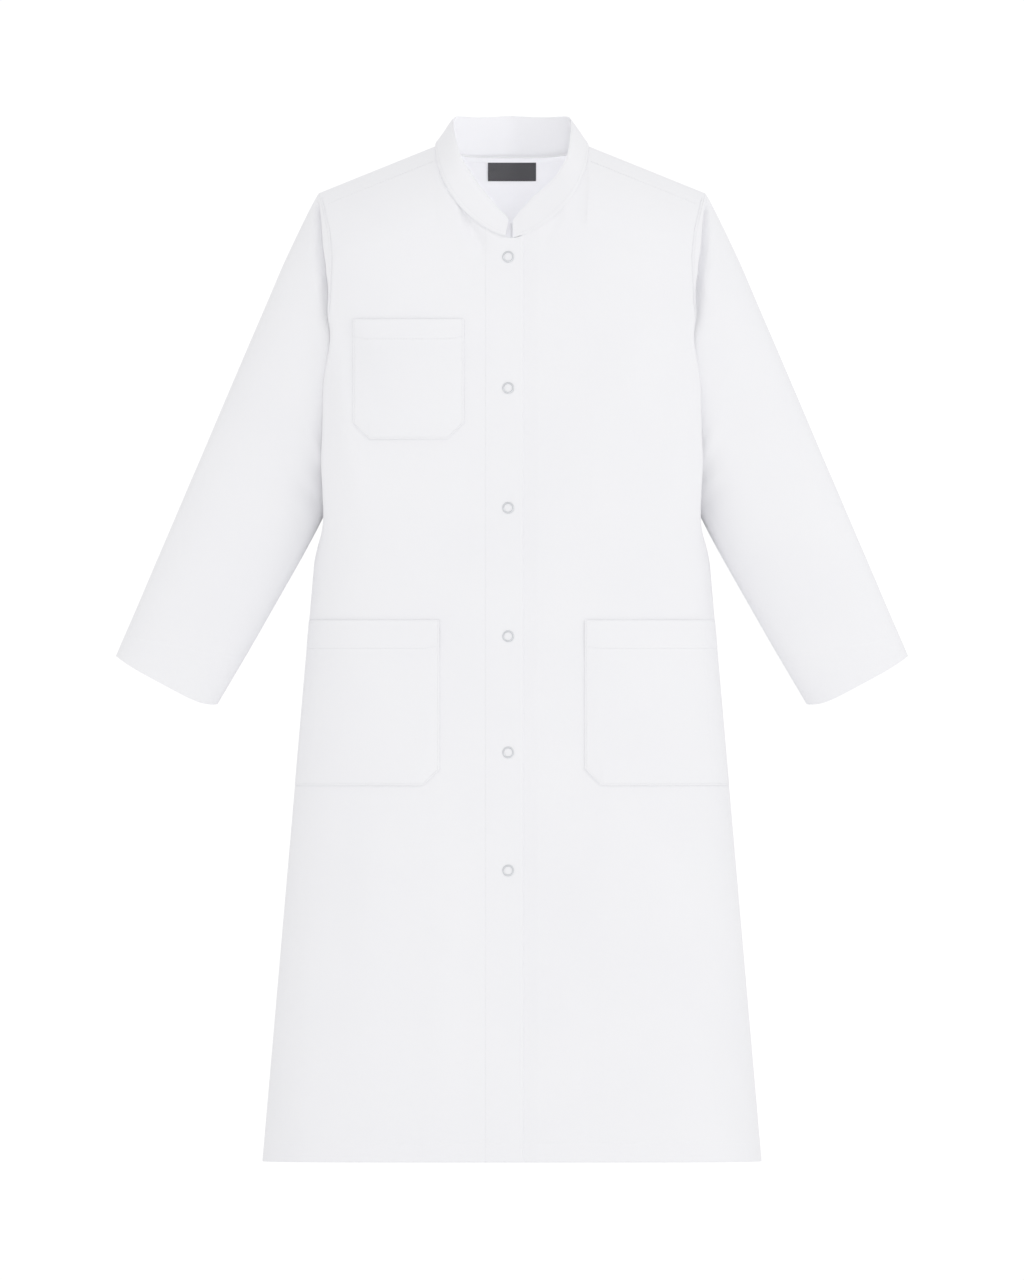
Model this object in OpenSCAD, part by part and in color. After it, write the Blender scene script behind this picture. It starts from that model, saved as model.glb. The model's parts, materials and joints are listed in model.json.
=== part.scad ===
/* [Torso] */
// Height from the neck point down to the hem
coat_length = 1070; // [1000:5:1140]
// Half width of the coat at the hem
hem_half_w = 264; // [245:1:280]
// Half width of the coat where the sleeves leave the body
waist_half_w = 209; // [200:1:215]
// Half width from shoulder tip to shoulder tip
shoulder_half_w = 205; // [200:1:210]
// Height of the shoulder tip below the neck point
shoulder_drop = 48; // [42:1:54]
// Depth of the front at the hem, measured from the side seams
front_depth_hem = 120; // [110:1:130]
// Depth of the front at the neck, measured from the side seams
front_depth_neck = 84; // [80:1:90]
// Depth of the back at the hem, measured from the side seams
back_depth_hem = 116; // [105:1:125]
// Depth of the back at the shoulder blades
back_depth_top = 78; // [72:1:84]

/* [Neck and collar] */
// Half width of the neck opening
neck_half_w = 81; // [78:1:84]
// How far the front neckline drops below the neck point
front_neck_drop = 91; // [88:1:94]
// Height of the stand collar at the centre back
collar_height = 45; // [40:1:48]

/* [Front edges] */
// How far the upper front edge passes the centre line
over_reach = 12; // [11:0.5:13]
// How far the lower front edge passes the centre line
under_reach = 18; // [16:0.5:19]
// Distance from the centre line to the inner edge of each stitched facing
facing_inner = 28; // [26:0.5:28.5]
// Distance of the fold line from the centre at the neckline
fold_x_top = 30; // [29.5:0.5:32]
// Distance of the fold line from the centre at the hem
fold_x_hem = 95; // [85:1:100]

/* [Pockets] */
// Height of the lower pockets
pocket_h = 174; // [160:1:180]
// Cut corner of every pocket
corner_cut = 17; // [12:1:20]
// Room inside a pocket at its middle
pocket_room = 12; // [10:0.5:12]

/* [Sleeves] */
// Half width of the flattened cuff
cuff_half_w = 57.5; // [52:0.5:60]
// Half depth of the cuff, front to back
cuff_half_d = 27; // [24:1:32]
// Half depth of the sleeve at the armhole
sleeve_half_d = 54; // [50:1:56]

/* [Snaps] */
// Outside diameter of a snap ring
snap_d = 12.4; // [11:0.1:13]
// Number of snaps
snap_count = 6; // [6:1:6]

/* [Cloth] */
// Thickness of one ply of cloth as modelled
ply = 1.2; // [1:0.1:1.2]

/* [Hidden] */
$fn = 32;

// The wearer's right is at -X, the front faces -Y, and the origin is the
// middle of the neck opening at the height of the neck points.
z_hem = -coat_length;
neck_z = 3;
z_fold = -72;
z_underarm = -250;
z_waist = -415;
ridge_slope = (neck_z + shoulder_drop) / (shoulder_half_w - neck_half_w);
neck_dome = 33;
front_rise = 85;
back_rise = 110;
squareness = 3.2;
valley_depth = 30;
armhole_share = 0.88;
white = "#f4f4f6";
steel = "#b9bcc0";
seam_gap = 0.7;
under_dip = 5.6;
ply_gap = 0.4;
// Panels stop just short of the side seam and of the shoulder ridge.
side_end = 0.9995;
ridge_start = 0.004;
seam_top = 1.2;
snap_z = [-111, -250, -377, -513, -636, -761];
snap_x = -4;
elbow = 0.53;
elbow_wedge = 36;

// ---- small helpers ----
function mix(a, b, t) = a + (b - a) * t;
function clamp01(t) = max(0, min(1, t));
function smooth(t) = let (c = clamp01(t)) c * c * (3 - 2 * c);
function unit(v) = v / max(norm(v), 1e-9);
function mirror_x(p, side) = [side * p[0], p[1], p[2]];

// ---- body shape ----
// Half width of the silhouette at height z.
function half_w(z) = lookup(z, [
  [z_hem, hem_half_w], [z_waist, waist_half_w], [-300, 201], [-190, 194],
  [-110, 195], [-shoulder_drop, shoulder_half_w]
]);
// Share of the full section that the cloth reaches before the armhole edge.
function reach(z) = mix(1, armhole_share, smooth((z - z_underarm) / 90));
// Hollow under the arm, where the sleeve lies against the side.
function valley(z) = valley_depth * smooth((z + 470) / 150) * smooth((-130 - z) / 100);
// Fall of the section from the centre to the side.
function section(q) = pow(max(0, 1 - pow(min(1, abs(q)), squareness)), 1 / squareness);
// Inside the neck opening the ridge rises as a dome, which rounds the neckline.
function ridge_z(x) =
  abs(x) > neck_half_w
    ? neck_z + (neck_half_w - abs(x)) * ridge_slope
    : neck_z + neck_dome * pow(1 - pow(x / neck_half_w, 2), 0.7);
function rise(u, span) = pow(1 - pow(1 - clamp01(u / span), 2), 0.8);
// The fold line is straight, and the front is shaped so that it lies on it.
function fold_x(z) = mix(fold_x_top, fold_x_hem, clamp01((z_fold - z) / (z_fold - z_hem)));
function fold_depth(z) =
  mix(front_depth_neck, front_depth_hem, (z_fold - z) / (z_fold - z_hem));
function front_depth(x, z) =
  let (w = half_w(z) / reach(z))
  fold_depth(z) / section(fold_x(z) / w) * section(x / w) * rise(ridge_z(x) - z, front_rise);
function back_depth(x, z) =
  let (w = half_w(z) / reach(z))
  mix(back_depth_top, back_depth_hem, z / z_hem) * section(x / w)
    * rise(ridge_z(x) - z, back_rise);

function neck_front_z(x) =
  neck_z - (front_neck_drop + neck_z)
    * sqrt(max(0, 1 - pow(min(1, abs(x) / neck_half_w), 1.5)));
function neck_back_z(x) = neck_z - 10 * (1 - pow(min(1, abs(x) / neck_half_w), 2));
function top_front_z(x) = abs(x) < neck_half_w ? neck_front_z(x) : ridge_z(x);
function top_back_z(x) = abs(x) < neck_half_w ? neck_back_z(x) : ridge_z(x);
function row_z(top, t) = mix(top, z_hem, pow(t, 1.5));

// Outer point of a panel between inner line x0 and the side, s and t from 0 to 1.
function side_x(x0, s, z) =
  mix(x0, half_w(z), sin(90 * s)) - valley(z) * smooth((s - 0.72) / 0.28);
function front_side_point(s, t) =
  let (x_top = mix(fold_x_top, shoulder_half_w, sin(90 * s)), z = row_z(top_front_z(x_top), t))
  let (flat_x = mix(fold_x(z), half_w(z), sin(90 * s)))
  [side_x(fold_x(z), s, z), -front_depth(flat_x, z), z];
function back_point(s, t) =
  let (x_top = shoulder_half_w * sin(90 * s), z = row_z(top_back_z(x_top), t))
  let (flat_x = half_w(z) * sin(90 * s))
  [side_x(0, s, z), back_depth(flat_x, z), z];
// Strip between the fold line and the free edge; under tells the lower strip.
function dip(x, under) = under ? under_dip * smooth((fold_x_top - 1 - x) / 15) : 0;
function edge_point(s, t, inner, under) =
  let (
    x_top = mix(fold_x_top, inner, s), z = row_z(neck_front_z(x_top), t),
    x = mix(fold_x(z), inner, s)
  )
  [x, -front_depth(x, z) + dip(x, under), z];
function edge_reach(under) = under ? under_reach : over_reach;
function facing_point(s, t, under) =
  let (free = -edge_reach(under), x = mix(facing_inner, free + 0.5, s))
  let (z = row_z(neck_front_z(x) - 3, t))
  [x, -front_depth(x, z) + dip(x, under), z];

// ---- shells made from a surface function ----
function normal(f, s, t) =
  let (e = 0.002)
  unit(cross(
    f(min(1, s + e), t) - f(max(0, s - e), t),
    f(s, min(1, t + e)) - f(s, max(0, t - e))
  ));
function grid_points(f, ns, nt, off) = [
  for (j = [0:nt]) for (i = [0:ns])
    let (s = i / ns, t = j / nt)
    f(s, t) + normal(f, s, t) * off
];
function quads(ns, nt, base, turn) = [
  for (j = [0:nt - 1]) for (i = [0:ns - 1])
    let (a = base + j * (ns + 1) + i, b = a + ns + 1)
    each turn ? [[a, b, a + 1], [a + 1, b, b + 1]] : [[a, a + 1, b], [a + 1, b + 1, b]]
];
function rim(ns, nt) =
  let (loop = [
    for (i = [0:ns]) i,
    for (j = [1:nt]) j * (ns + 1) + ns,
    for (i = [1:ns]) nt * (ns + 1) + ns - i,
    for (j = [1:nt - 1]) (nt - j) * (ns + 1)
  ])
  let (n = len(loop), shift = (ns + 1) * (nt + 1))
  [
    for (k = [0:n - 1])
      let (a = loop[k], b = loop[(k + 1) % n])
      each [[a, a + shift, b], [b, a + shift, b + shift]]
  ];
// near and far are distances along the surface's normal.
module shell(f, ns, nt, near, far) {
  low = min(near, far);
  high = max(near, far);
  polyhedron(
    points = concat(grid_points(f, ns, nt, low), grid_points(f, ns, nt, high)),
    faces = concat(
      quads(ns, nt, 0, false), quads(ns, nt, (ns + 1) * (nt + 1), true),
      rim(ns, nt)
    ),
    convexity = 6
  );
}

// ---- panels ----
// Builds on the +X side and mirrors to the wearer's right where side is -1.
module on_side(side) {
  if (side > 0) children();
  else mirror([1, 0, 0]) children();
}
module front_panel(side) {
  color(white)
  on_side(side)
  shell(
    function(s, t) front_side_point(mix(0.008, side_end, s), mix(ridge_start, 1, t)),
    12, 20, 0, ply
  );
}
module back_panel(side) {
  color(white)
  on_side(side)
  shell(
    function(s, t) back_point(mix(side_end, 0.002, s), mix(ridge_start, 1, t)), 14, 20, 0, ply
  );
}
module front_edge(side) {
  color(white)
  on_side(side)
  shell(
    function(s, t) edge_point(mix(1, 0.01, s), t, -edge_reach(side > 0), side > 0),
    16, 20, 0, ply
  );
}
module facing(side) {
  color(white)
  on_side(side)
  shell(
    function(s, t) facing_point(1 - s, t, side > 0), 14, 20, ply + ply_gap, 2 * ply + ply_gap
  );
}
module back_neck_facing() {
  half = 74;
  depth = 70;
  color(white)
  shell(
    function(s, t)
      let (x = mix(half, -half, s), top = neck_back_z(x) - 2, z = top - depth * t)
      [x, back_depth(x, z), z],
    20, 8, ply + 1.5, 2 * ply + 1.5
  );
}
module neck_label() {
  half = 25.5;
  tall = 20;
  color("#3c3b3e")
  shell(
    function(s, t)
      let (x = mix(half, -half, s), z = mix(-12, -12 - tall, t))
      [x, back_depth(x, z), z],
    6, 3, 2 * ply + 2, 2 * ply + 2.7
  );
}

// ---- collar ----
// around runs from the centre front at 0 to the neck point at 90 and the back at 180.
function collar_base(around) =
  let (x = neck_half_w * sin(around))
  around <= 90
    ? [x, -front_depth(x, neck_front_z(x)), neck_front_z(x)]
    : [x, back_depth(x, neck_back_z(x)), neck_back_z(x)];
function collar_up(around) = lookup(around, [
  [5, 19], [16, 20.5], [33, 21], [48, 25], [60, 30], [75, 32], [90, 33], [135, 40],
  [180, collar_height]
]);
function collar_in(around) = lookup(around, [
  [5, 0], [16, 12], [33, 21], [48, 21], [60, 18], [75, 19], [90, 20], [135, 5], [180, 0]
]);
function collar_back(around) = lookup(around, [
  [5, 8], [16, 10], [48, 16], [75, 8], [90, 2], [135, -5], [180, -6]
]);
function collar_point(around, h) =
  collar_base(around)
  + [-collar_in(around), collar_back(around), collar_up(around)] * h
  + [0, 0, seam_top];
right_end = 5;
left_end = 1.2;
fold_around = asin(fold_x_top / neck_half_w);
module collar_ply_front(side, outside) {
  under = side > 0;
  start = under ? left_end : right_end;
  color(white)
  on_side(side)
  shell(
    function(s, t)
      let (p = collar_point(mix(start, fold_around - 0.4, s), 1 - t))
      p + [0, dip(p[0], under), 0],
    6, 5, outside ? -0.05 : 0.05, outside ? -ply : ply
  );
}
module collar_ply_back(outside) {
  span = 180 - fold_around;
  color(white)
  shell(
    function(s, t)
      let (turn = mix(-span, span, s), around = 180 - abs(turn))
      mirror_x(collar_point(around, 1 - t), turn < 0 ? 1 : -1),
    44, 4, outside ? -0.05 : 0.05, outside ? -ply : ply
  );
}

// ---- pockets ----
// x0 and x1 are the near and far sides, z0 the mouth, and the far side may be plain.
function pocket_bottom(x, x0, x1, z1, far_cut) =
  let (near = abs(x - x0), far = abs(x - x1))
  z1 + max(0, corner_cut - near) + (far_cut ? max(0, corner_cut - far) : 0);
// Columns stand at both ends of every cut corner.
function pocket_x(s, x0, x1) =
  let (w = x1 - x0, c = corner_cut / w)
  x0 + w * lookup(s, [[0, 0], [0.15, c], [0.85, 1 - c], [1, 1]]);
function pocket_point(s, t, x0, x1, z0, z1, far_cut) =
  let (
    x = pocket_x(s, x0, x1), z = mix(z0, pocket_bottom(x, x0, x1, z1, far_cut), t),
    puff = sqrt(sin(180 * s)) * sqrt(cos(90 * t)),
    w = half_w(z), angle = asin(min(1, x / w))
  )
  [x, -front_depth(x, z), z] + [sin(angle) * 0.4, -1, 0] * (pocket_room * puff + seam_gap);
module pocket(side, x0, x1, z0, z1, far_cut) {
  color(white)
  on_side(side)
  shell(
    function(s, t) pocket_point(s, t, x0, x1, z0, z1, far_cut), 20, 8, 0, -ply
  );
}
chest_x = [52, 167];
chest_z = [-177, -303];
lower_x = 78;
lower_z = -496;
// The lower pockets run into the side seam.
lower_far = half_w(lower_z) - 3;

// ---- sleeves ----
cuff_mid = [368, -565];
cuff_turn = 28;
cuff_across = [cos(cuff_turn), sin(cuff_turn)] * cuff_half_w;
tip = [shoulder_half_w + 1.5, -shoulder_drop - 1];
underarm = [half_w(z_underarm) - valley(z_underarm) + 4, z_underarm - 3];
under_control = [170, -380];
// Slows the inner line so that the elbow lies square across the sleeve.
inner_lag = 1.3;
function sleeve_outer(k) = mix(tip, cuff_mid + cuff_across, k);
function sleeve_inner(k) =
  let (end = cuff_mid - cuff_across, j = pow(k, inner_lag))
  (1 - j) * (1 - j) * underarm + 2 * j * (1 - j) * under_control + j * j * end;
function sleeve_depth(k) = lookup(k, [
  [0, sleeve_half_d], [0.25, 48], [0.5, 39], [1, cuff_half_d]
]);
function rounded(v, power) = sign(v) * pow(abs(v), power);
// k runs down the sleeve and turn goes round it, starting at the outer edge.
function sleeve_point(k, turn, inset) =
  let (
    o = sleeve_outer(k), i = sleeve_inner(k), mid = (o + i) / 2, half = norm(o - i) / 2,
    across = unit(o - i), c = rounded(cos(turn), 0.85), d = rounded(sin(turn), 0.85),
    p = mid + across * (half - inset) * c
  )
  [p[0], -d * (sleeve_depth(k) - inset), p[1]];
module sleeve_tube(k0, k1, rows) {
  n = 28;
  pts = [
    for (layer = [0, ply]) for (j = [0:rows]) for (i = [0:n - 1])
      sleeve_point(mix(k0, k1, j / rows), 360 * i / n, layer)
  ];
  far = n * (rows + 1);
  polyhedron(
    points = pts,
    faces = [
      for (j = [0:rows - 1]) for (i = [0:n - 1])
        let (a = j * n + i, b = j * n + (i + 1) % n, c = a + n, d = b + n)
        each [[a, b, c], [b, d, c], [a + far, c + far, b + far], [b + far, c + far, d + far]],
      for (i = [0:n - 1])
        let (a = i, b = (i + 1) % n)
        each [[a, a + far, b], [b, a + far, b + far]],
      for (i = [0:n - 1])
        let (a = rows * n + i, b = rows * n + (i + 1) % n)
        each [[a, b, a + far], [b, b + far, a + far]]
    ],
    convexity = 6
  );
}
elbow_outer = sleeve_outer(elbow);
elbow_inner = sleeve_inner(elbow);
elbow_mid = (elbow_outer + elbow_inner) / 2;
elbow_turn = atan2(elbow_outer[1] - elbow_inner[1], elbow_outer[0] - elbow_inner[0]);
// Room on the inside of the bend: a wedge that opens towards the front.
module elbow_room() {
  translate([elbow_mid[0], 0, elbow_mid[1]])
  rotate([0, -elbow_turn, 0])
  translate([-100, 0, 0])
  rotate([0, 90, 0])
  linear_extrude(200)
  polygon([
    [0, 1], [-90 * tan(elbow_wedge), -90], [90 * tan(elbow_wedge), -90]
  ]);
}
module upper_sleeve(side) {
  color(white)
  on_side(side)
  difference() {
    sleeve_tube(0.012, elbow - 0.0008, 12);
    elbow_room();
  }
}
module lower_sleeve(side) {
  color(white)
  on_side(side)
  difference() {
    sleeve_tube(elbow + 0.0008, 1, 8);
    elbow_room();
  }
}

// ---- snaps ----
snap_r = snap_d / 2;
prong_r = 0.4;
prong_circle = 3.6;
prongs = 5;
// Puts a snap part on the front with its axis along the cloth's normal, -Z outwards.
module at_snaps() {
  for (z = snap_z) {
    tilt = atan2(front_depth(snap_x, z - 5) - front_depth(snap_x, z + 5), 10);
    translate([snap_x, -front_depth(snap_x, z), z])
    rotate([-90 - tilt, 0, 0])
    children();
  }
}
module prong_ring(depth) {
  rotate_extrude()
  polygon([
    [snap_r - 1.9, 0], [snap_r - 1.7, -0.55], [snap_r - 1.1, -0.85],
    [snap_r - 0.5, -0.75], [snap_r, -0.35], [snap_r, 0]
  ]);
  for (i = [0:prongs - 1])
    rotate([0, 0, 360 / prongs * i])
    translate([prong_circle + 1.1, 0, -0.3])
    cylinder(r = prong_r, h = depth + 0.3);
}
module snap_rings() {
  color(steel)
  at_snaps()
  translate([0, 0, -0.05])
  prong_ring(2 * ply + ply_gap + 0.7);
}
module snap_sockets() {
  color(steel)
  at_snaps()
  translate([0, 0, 2 * ply + ply_gap + 0.05])
  rotate_extrude()
  difference() {
    translate([2.3, 0]) square([3.5, 2.1]);
    translate([4.1, -1]) square([1.2, 2.1]);
  }
}
module snap_studs() {
  base = 0.5;
  color(steel)
  at_snaps()
  translate([0, 0, under_dip - base - 0.05])
  union() {
    difference() {
      cylinder(r = 5.6, h = base);
      translate([0, 0, base / 2]) rotate_extrude() translate([4.1, 0]) square([1.2, 1]);
    }
    translate([0, 0, -1.5]) cylinder(r = 1.75, h = 1.5 + base);
  }
}
module snap_stud_rings() {
  color(steel)
  at_snaps()
  translate([0, 0, under_dip + 2 * ply + ply_gap + 0.05])
  mirror([0, 0, 1])
  prong_ring(2 * ply + ply_gap + 0.2);
}

back_panel(-1);  // back_panel_right
back_panel(1);  // back_panel_left
front_panel(-1);  // front_panel_right
front_panel(1);  // front_panel_left
back_neck_facing();
neck_label();
collar_ply_back(true);  // collar_outer_back
collar_ply_back(false);  // collar_inner_back
pocket(-1, chest_x[0], chest_x[1], chest_z[0], chest_z[1], true);  // chest_pocket
pocket(-1, lower_x, lower_far, lower_z, lower_z - pocket_h, false);  // lower_pocket_right
pocket(1, lower_x, lower_far, lower_z, lower_z - pocket_h, false);  // lower_pocket_left
front_edge(-1);  // front_edge_right
facing(-1);  // facing_right
collar_ply_front(-1, true);  // collar_outer_right
collar_ply_front(-1, false);  // collar_inner_right
snap_rings();
snap_sockets();
front_edge(1);  // front_edge_left
facing(1);  // facing_left
collar_ply_front(1, true);  // collar_outer_left
collar_ply_front(1, false);  // collar_inner_left
snap_studs();
snap_stud_rings();
upper_sleeve(-1);  // upper_sleeve_right
lower_sleeve(-1);  // lower_sleeve_right
upper_sleeve(1);  // upper_sleeve_left
lower_sleeve(1);  // lower_sleeve_left
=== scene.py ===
"""A white laboratory coat with a stand collar, ring snaps and three patch pockets.

Lengths are in millimetres until a mesh is made. The wearer's right is at -X and the front
faces -Y. The origin is the middle of the neck opening at the height of the neck points.
"""
import json
import math

import bpy
import numpy as np
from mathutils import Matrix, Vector, noise


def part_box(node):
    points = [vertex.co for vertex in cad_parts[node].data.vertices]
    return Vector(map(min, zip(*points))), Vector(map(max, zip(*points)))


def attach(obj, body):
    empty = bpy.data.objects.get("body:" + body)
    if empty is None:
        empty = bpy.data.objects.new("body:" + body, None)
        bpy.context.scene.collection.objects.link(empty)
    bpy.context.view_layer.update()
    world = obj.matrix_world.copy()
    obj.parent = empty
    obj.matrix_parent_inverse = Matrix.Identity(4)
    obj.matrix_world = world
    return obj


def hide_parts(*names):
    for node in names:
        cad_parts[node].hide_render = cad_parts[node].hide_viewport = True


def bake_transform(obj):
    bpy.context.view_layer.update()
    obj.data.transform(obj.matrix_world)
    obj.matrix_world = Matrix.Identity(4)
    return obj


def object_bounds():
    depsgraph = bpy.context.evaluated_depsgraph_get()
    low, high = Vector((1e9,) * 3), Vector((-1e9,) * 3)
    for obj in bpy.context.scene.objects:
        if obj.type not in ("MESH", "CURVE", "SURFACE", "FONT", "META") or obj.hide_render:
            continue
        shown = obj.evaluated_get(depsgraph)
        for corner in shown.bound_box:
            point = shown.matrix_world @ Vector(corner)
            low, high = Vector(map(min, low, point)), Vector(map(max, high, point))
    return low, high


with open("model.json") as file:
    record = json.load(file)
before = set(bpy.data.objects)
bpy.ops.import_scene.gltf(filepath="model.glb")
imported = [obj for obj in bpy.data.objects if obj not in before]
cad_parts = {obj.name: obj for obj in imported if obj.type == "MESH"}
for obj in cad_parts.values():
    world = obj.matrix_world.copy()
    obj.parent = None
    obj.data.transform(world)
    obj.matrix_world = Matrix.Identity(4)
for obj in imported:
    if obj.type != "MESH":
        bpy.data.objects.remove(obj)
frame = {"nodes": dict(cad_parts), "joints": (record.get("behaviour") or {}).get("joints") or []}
cad_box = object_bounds()

MM = 0.001
RIGHT, LEFT = -1, 1
SIDE_NAME = {RIGHT: "right", LEFT: "left"}

# ---- sizes taken from the frame ----
joints = {j["name"]: j for j in frame["joints"]}
hem_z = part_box("back_panel_left")[0].z / MM
fold_top = np.array(joints["left_front_fold"]["pos_m"]) / MM
tip = np.array(joints["left_arm_raise"]["pos_m"]) / MM
over_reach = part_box("front_edge_right")[1].x / MM
under_reach = -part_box("front_edge_left")[0].x / MM
chest_low, chest_high = (np.array(corner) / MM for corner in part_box("chest_pocket"))
lower_low, lower_high = (np.array(corner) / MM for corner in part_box("lower_pocket_left"))

# ---- sizes of the cut ----
neck_half = 81.0
shoulder_half = 205.0
neck_z = 7.3
shoulder_drop = 42.9
front_neck_drop = 91.0
collar_height = 45.0
underarm_z = -250.0
fold_hem_x = 95.0
front_depth_neck, front_depth_hem = 84.0, 120.0
back_depth_top, back_depth_hem = 78.0, 116.0
facing_inner = 28.0
cuff_middle = np.array([369.3, -565.0])
cuff_slope = math.radians(28.2)
cuff_half_width = 59.3
shoulder_point = np.array([212.0, -46.0])

# ---- sizes of the sewing ----
cloth = 0.7
stitch_pitch = 3.2
stitch_length = 2.3
thread = 0.34
hem_turning = 20.0
shoulder_seam = 13.0
armhole_stitch = 2.2
cuff_turning = 26.0
chest_turning = 21.0
lower_turning = 30.0
cut_corner = 17.0
edge_stitch = 2.0
grid_step = 5.0
seam_gap = 0.6
sleeve_length = 520.0

# ---- the hollow under each arm ----
hollow_depth = 46.0
hollow_allowance = 16.0
hollow_low, hollow_top = -440, -162


# ==== small helpers ====
def ease(t):
    t = np.clip(t, 0.0, 1.0)
    return t * t * (3.0 - 2.0 * t)


def mix(a, b, t):
    return a + (b - a) * t


def hill(distance, width):
    return np.exp(-((distance / width) ** 2))


def unit(v):
    return v / np.maximum(np.linalg.norm(v, axis=-1, keepdims=True), 1e-9)


def linear(hex_colour):
    """The linear value of an sRGB hex colour."""
    parts = [int(hex_colour[i:i + 2], 16) / 255 for i in (1, 3, 5)]
    return [c / 12.92 if c <= 0.04045 else ((c + 0.055) / 1.055) ** 2.4 for c in parts] + [1.0]


def spaced(low, high, step, seams=()):
    """Grid lines from low to high, drawn close together at each seam."""
    lines = list(np.linspace(low, high, max(2, round((high - low) / step)) + 1))
    for seam in seams:
        lines = [v for v in lines if abs(v - seam) > 2.4 or v in (low, high)]
        close = [seam + d for d in (-2.0, -1.0, -0.4, 0.0, 0.4, 1.0, 2.0)]
        lines += [v for v in close if low < v < high]
    return np.array(sorted(set(lines)))


def even_in_length(f, low, high, step):
    """Values between low and high whose points f(value) are about step apart."""
    fine = np.linspace(low, high, 2000)
    points = f(fine)
    length = np.concatenate([[0], np.cumsum(np.linalg.norm(np.diff(points, axis=0), axis=1))])
    even = np.linspace(0, length[-1], max(2, round(length[-1] / step)) + 1)
    return np.interp(even, length, fine)


def clear_of(lines, other):
    """The grid lines that don't crowd the other, closer ones."""
    return lines[(lines < other[0] - 1.5) | (lines > other[-1] + 1.5)]


def close_at_armhole(lines):
    """Columns up to the armhole, drawn close together at its row of stitches."""
    near = shoulder_half - armhole_stitch + np.array([-1.5, -0.8, 0, 0.8, 1.5])
    return np.concatenate([lines[lines < near[0] - 1], near, [shoulder_half]])


# ==== the body's shape ====
def half_width(z):
    return np.interp(
        z, [hem_z, -424, -300, -190, -160, -110, -83, -57, -shoulder_drop],
        [265, 209, 201, 199, 195, 192.8, 195.5, 201.5, shoulder_half],
    )


def reach(z):
    """Share of the full section that the cloth covers before the armhole's edge."""
    return mix(1.0, 0.88, ease((z - underarm_z) / 90))


def hollow(z):
    """Depth of the hollow under the arm, where the sleeve lies against the side."""
    return hollow_depth * ease((z - hollow_low) / 130) * ease((hollow_top - z) / 92)


def full_width(z):
    """Half width of the section, wider where the hollow takes some of it away."""
    return half_width(z) + hollow(z) * hollow_allowance / hollow_depth


def section(q):
    squareness = 3.2
    q = np.minimum(1.0, np.abs(q))
    return np.maximum(0.0, 1 - q ** squareness) ** (1 / squareness)


def ridge_z(x):
    slope = (neck_z + shoulder_drop) / (shoulder_half - neck_half)
    return neck_z + slope * (math.hypot(neck_half, 12) - np.hypot(x, 12))


def rise(u, span):
    return (1 - (1 - np.clip(u / span, 0, 1)) ** 2) ** 0.8


def fold_share(z):
    return (fold_top[2] - z) / (fold_top[2] - hem_z)


def fold_x(z):
    return mix(fold_top[0], fold_hem_x, np.clip(fold_share(z), 0, 1))


def front_depth(x, z):
    width = full_width(z) / reach(z)
    at_fold = mix(front_depth_neck, front_depth_hem, fold_share(z)) / section(fold_x(z) / width)
    return at_fold * section(x / width) * rise(ridge_z(x) - z, 85)


def back_depth(x, z):
    width = full_width(z) / reach(z)
    middle = mix(back_depth_top, back_depth_hem, z / hem_z)
    return middle * section(x / width) * rise(ridge_z(x) - z, 110)


def neck_front_z(x):
    q = np.minimum(1.0, np.abs(x) / neck_half)
    return neck_z - (front_neck_drop + neck_z) * np.sqrt(np.maximum(0, 1 - q ** 1.5))


def neck_back_z(x):
    return neck_z - 11.5 * (1 - np.minimum(1.0, np.abs(x) / neck_half) ** 4)


def top_front_z(x):
    return np.where(np.abs(x) < neck_half, neck_front_z(x), ridge_z(x))


def top_back_z(x):
    return np.where(np.abs(x) < neck_half, neck_back_z(x), ridge_z(x))


def dip(x, side):
    """How far the under front drops behind the over front."""
    if side == RIGHT:
        return 0.0 * x
    return 1.6 * ease((29 - x) / 15) + 3.9 * ease((11.4 - x) / 6)


def segment_distance(x, z, a, b):
    a, b = np.array(a, float), np.array(b, float)
    run = b - a
    t = np.clip(((x - a[0]) * run[0] + (z - a[1]) * run[1]) / (run @ run), 0, 1)
    return np.hypot(x - a[0] - t * run[0], z - a[1] - t * run[1]), t


def crease(x, z, a, b, width, height):
    """A soft fold along a line from a to b, deepest a third of the way down it."""
    distance, t = segment_distance(x, z, a, b)
    shape = hill(distance, width * (0.6 + 0.8 * t))
    return height * shape * ease(t * 4 + 0.25) * ease((1 - t) * 2)


def front_drape(x, z, side):
    """Soft folds of the front, outwards from its even shape. They fade at the front edge."""
    flutes = np.sin(x / 27.0 + 0.6 * side) * 1.5 + np.sin(x / 15.5 + 1.9 + side + z / 420) * 0.8
    drape = flutes * ease((-520 - z) / 420) * ease((x - 45) / 60)
    drape = drape + crease(x, z, (54, -58), (24, -116), 7, -5.0 if side == RIGHT else -1.2)
    drape = drape + crease(x, z, (186, -165), (128, -300), 16, -2.2)
    drape = drape + crease(x, z, (188, -215), (158, -420), 15, 2.4)
    drape = drape + crease(x, z, (150, -700), (172, hem_z - 60), 30, 2.0)
    return drape


def back_drape(x, z, side):
    """Soft folds of the back: two long flutes from the shoulder blades to the hem."""
    fade = ease((-180 - z) / 500)
    drape = fade * ease(x / 40) * (np.sin(x / 24.0 + 0.8) * 2.6 + np.sin(x / 13.0 + side) * 0.9)
    drape = drape + crease(x, z, (184, -170), (110, -330), 18, -2.4)
    return drape + crease(x, z, (60, -120), (95, -620), 26, 2.2)


def ripple(points, amount=0.35, size=70.0):
    """A slight unevenness of the cloth, smooth and the same on every run."""
    flat = points.reshape(-1, 3)
    values = [noise.noise(Vector(p / size)) for p in flat]
    return amount * np.array(values).reshape(points.shape[:-1])


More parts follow.
